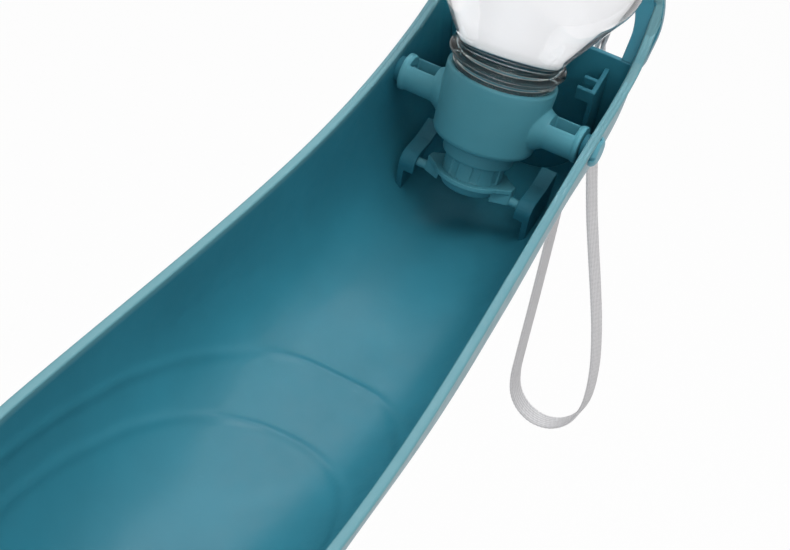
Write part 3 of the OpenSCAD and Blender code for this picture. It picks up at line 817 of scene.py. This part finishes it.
def bevelled(node, mat, width):
    """The solid itself, with small rounded edges."""
    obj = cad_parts[node]
    weld = obj.modifiers.new("weld", "WELD")
    weld.merge_threshold = WELD_DIST
    flat = obj.modifiers.new("flat", "DECIMATE")
    flat.decimate_type = "DISSOLVE"
    flat.angle_limit = math.radians(1.5)
    edge = obj.modifiers.new("edge", "BEVEL")
    edge.width = width * MM
    edge.segments = 3
    edge.limit_method = "ANGLE"
    edge.angle_limit = math.radians(32)
    for p in obj.data.polygons:
        p.use_smooth = True
    return dress(obj, mat)


softened("cap_collar", "cap_body", cap_mat, "cap", 0.30, 4)
softened("valve_sleeve", "valve_sleeve_body", cap_mat, "valve", 0.22, 2)
softened("valve_yoke", "valve_yoke_body", cap_mat, "valve", 0.20, 3)
softened("nozzle_cup", "nozzle_body", cap_mat, "valve", 0.20, 3)
for side in ("left", "right"):
    for part, name, mat, voxel in (("cam_claw", "claw", shaded_fitting_mat, 0.20),
                                   ("latch_bracket", "latch", shaded_fitting_mat, 0.22),
                                   ("pivot_pin", "pin", pin_mat, 0.20)):
        softened(f"{side}_{part}", f"{side}_{name}_body", mat, "trough", voxel, 3)
    bevelled(f"{side}_pivot_boss", shaded_fitting_mat, 0.3)
bevelled("rear_bulkhead", trough_mat, 0.5)
softened("carry_loop", "carry_loop_body", trough_mat, "trough", 0.30, 4)
bevelled("outlet_tube", cap_mat, 0.2)
bevelled("neck_gasket", pale_mat, 0.3)
bevelled("plug_seal", pale_mat, 0.3)
dress(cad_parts["tube_o_ring"], dark_mat)


# ---------------------------------------------------------------- bottle
BOTTLE_R, BOTTLE_END, BOTTLE_WALL = 37.0, 232.0, 1.1
NECK_R, NECK_INNER_R, RING_R = 17.0, 15.2, 21.0
BEAD_R, RING_ROUND = 0.85, 1.5
SHOULDER_DEG, SHOULDER_S, SHOULDER_R = 33, 21.8, 18.4
SHOULDER_BLEND, BASE_BLEND = 20.0, 8.0
BASE_DISH, BASE_DISH_RIM = 3.5, 2.5
HALF_ANGLE = math.radians(SHOULDER_DEG)


def arc(cr, cs, r, start, stop, steps):
    turns = [math.radians(start + (stop - start) * i / steps) for i in range(steps + 1)]
    return [(cr + r * math.cos(a), cs + r * math.sin(a)) for a in turns]


def bottle_profile():
    """Closed outline of the bottle's wall: radius, and distance from the pivot along the axis."""
    meet = SHOULDER_S + (BOTTLE_R - SHOULDER_R) / math.tan(HALF_ANGLE)
    blend_s = meet + SHOULDER_BLEND * math.tan(HALF_ANGLE / 2)
    blend_r = BOTTLE_R - SHOULDER_BLEND
    base_r, base_s = BOTTLE_R - BASE_BLEND, BOTTLE_END - BASE_BLEND
    cone_r = blend_r + SHOULDER_BLEND * math.cos(HALF_ANGLE) - SHOULDER_R
    cone_s = blend_s - SHOULDER_BLEND * math.sin(HALF_ANGLE) - SHOULDER_S
    outside = [(NECK_R - 0.4, 1.5), (NECK_R, 1.9), (NECK_R, 13.4)]
    outside += arc(NECK_R + 0.75, 14.55, BEAD_R, -90, 90, 8)
    outside += [(NECK_R + 0.35, 15.6)]
    outside += arc(NECK_R + 1.05, 16.7, BEAD_R, -90, 90, 8)
    outside += [(NECK_R + 0.75, 17.6)]
    outside += arc(RING_R - RING_ROUND, 19.1, RING_ROUND, -80, 80, 12)
    outside += [(SHOULDER_R - 0.15, 20.7), (SHOULDER_R - 0.05, 21.3)]
    outside += [(SHOULDER_R + t * cone_r, SHOULDER_S + t * cone_s) for t in (0, 0.25, 0.5, 0.75)]
    outside += arc(blend_r, blend_s, SHOULDER_BLEND, -SHOULDER_DEG, 0, 16)
    outside += [(BOTTLE_R, blend_s + (base_s - blend_s) * k / 8) for k in range(1, 8)]
    outside += arc(base_r, base_s, BASE_BLEND, 0, 90, 14)
    outside += [(20, BOTTLE_END), (18.2, BOTTLE_END - 0.8), (16, BOTTLE_END - BASE_DISH_RIM),
                (8, BOTTLE_END - 3.3), (0, BOTTLE_END - BASE_DISH)]
    end = BOTTLE_END - BOTTLE_WALL
    inside = [(0, end - BASE_DISH), (16, end - BASE_DISH_RIM), (20, end)]
    inside += arc(base_r, base_s, BASE_BLEND - BOTTLE_WALL, 90, 0, 12)
    inside += [(BOTTLE_R - BOTTLE_WALL, base_s + (blend_s - base_s) * k / 8) for k in range(1, 8)]
    inside += arc(blend_r, blend_s, SHOULDER_BLEND - BOTTLE_WALL, 0, -SHOULDER_DEG, 14)
    inside += [(16.4, 20.6), (15.4, 19.4), (NECK_INNER_R, 18.6), (NECK_INNER_R, 1.9), (15.6, 1.5)]
    return outside + inside


def lathe(name, profile, segments=144):
    """A body turned about the bottle's axis, with single points where the outline meets it."""
    verts, faces, rows = [], [], []
    for r, s in profile:
        if r < 1e-6:
            rows.append([len(verts)])
            verts.append(along_bottle(0, 0, s))
            continue
        rows.append([])
        for k in range(segments):
            a = 2 * math.pi * k / segments
            rows[-1].append(len(verts))
            verts.append(along_bottle(r * math.cos(a), r * math.sin(a), s))
    loop = rows + rows[:1]
    for one, two in zip(loop, loop[1:]):
        for k in range(segments):
            n = (k + 1) % segments
            a, b = one[k % len(one)], one[n % len(one)]
            c, d = two[n % len(two)], two[k % len(two)]
            face = []
            for v in (a, b, c, d):
                if v not in face:
                    face.append(v)
            if len(face) > 2:
                faces.append(tuple(face))
    obj = add_mesh(name, verts, faces)
    mend_normals(obj)
    return obj


bottle = lathe("clear_bottle_body", bottle_profile())
# 0 on the neck, which gets the painted shade tint, and 1 on the milky body.
neck_shade_to_body_haze = bottle.data.attributes.new("neck_shade_to_body_haze", "FLOAT", "POINT")
for i, v in enumerate(bottle.data.vertices):
    along = (v.co / MM - PIVOT).dot(AXIS)
    neck_shade_to_body_haze.data[i].value = ease((along - 21.5) / 8.0)
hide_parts("bottle")
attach(bottle, "bottle")
dress(bottle, bottle_mat)
bottle.data.materials.append(inner_mat)
for face in bottle.data.polygons:
    q = face.center / MM - PIVOT
    along = q.dot(AXIS)
    outward = q - AXIS * along
    if 1.7 < along < BOTTLE_END - 3.9:
        face.material_index = 1 if face.normal.dot(outward.normalized()) < -0.2 else 0


# ---------------------------------------------------------------- studio
FLOOR_HALF, FLOOR_Z, FLOOR_GLOW = 6.0, -0.62, 0.93
WORLD_LEVEL = 0.43


def any_ray(tree, *kinds):
    """1 for a ray of one of these kinds, and 0 for the rays that light the object."""
    path = tree.nodes.new("ShaderNodeLightPath")
    found = path.outputs[kinds[0]]
    for kind in kinds[1:]:
        most = tree.nodes.new("ShaderNodeMath")
        most.operation = "MAXIMUM"
        tree.links.new(found, most.inputs[0])
        tree.links.new(path.outputs[kind], most.inputs[1])
        found = most.outputs[0]
    return found


def make_floor():
    half = FLOOR_HALF
    corners = [(-half, -half, FLOOR_Z), (half, -half, FLOOR_Z),
               (half, half, FLOOR_Z), (-half, half, FLOOR_Z)]
    obj = add_mesh("studio_floor", corners, [(0, 1, 2, 3)], smooth=False)
    n = Nodes("studio_white")
    n.shader.inputs["Base Color"].default_value = (0.86, 0.86, 0.86, 1)
    n.shader.inputs["Roughness"].default_value = 0.9
    glow = n.add("ShaderNodeEmission")
    glow.inputs["Color"].default_value = (1, 1, 1, 1)
    glow.inputs["Strength"].default_value = 1.0
    mix = n.add("ShaderNodeMixShader")
    share = n.add("ShaderNodeMath", operation="MULTIPLY")
    seen = any_ray(n.tree, "Is Camera Ray", "Is Glossy Ray", "Is Transmission Ray")
    n.link(seen, share.inputs[0])
    share.inputs[1].default_value = FLOOR_GLOW
    n.link(share.outputs[0], mix.inputs[0])
    n.link(n.shader.outputs[0], mix.inputs[1])
    n.link(glow.outputs[0], mix.inputs[2])
    n.link(mix.outputs[0], n.out.inputs["Surface"])
    obj.data.materials.append(n.mat)


def make_world():
    world = bpy.data.worlds.new("studio")
    bpy.context.scene.world = world
    world.use_nodes = True
    tree = world.node_tree
    back = tree.nodes["Background"]
    strength = tree.nodes.new("ShaderNodeMapRange")
    tree.links.new(any_ray(tree, "Is Camera Ray", "Is Transmission Ray"),
                   strength.inputs["Value"])
    strength.inputs["To Min"].default_value = WORLD_LEVEL
    strength.inputs["To Max"].default_value = 1.0
    tree.links.new(strength.outputs["Result"], back.inputs["Strength"])
    back.inputs["Color"].default_value = (1, 1, 1, 1)


def lamp(name, where, target, size, watts):
    data = bpy.data.lights.new(name, "AREA")
    data.shape = "RECTANGLE"
    data.size, data.size_y = size
    data.energy = watts
    obj = bpy.data.objects.new(name, data)
    bpy.context.scene.collection.objects.link(obj)
    place, goal = Vector(where), Vector(target)
    turn = (place - goal).to_track_quat("Z", "Y").to_matrix().to_4x4()
    obj.matrix_world = Matrix.Translation(place) @ turn


make_floor()
make_world()
lamp("key", (0.0, 0.28, 1.20), (0.06, 0.0, -0.13), (0.9, 0.8), 13.0)
lamp("sheen", (-0.62, -0.31, 0.70), (0.14, 0.0, -0.17), (0.9, 0.6), 3.6)
lamp("fill", (1.0, 0.35, 0.45), (0.04, 0.0, -0.13), (0.8, 0.8), 1.8)

bpy.context.scene.view_settings.view_transform = "Standard"
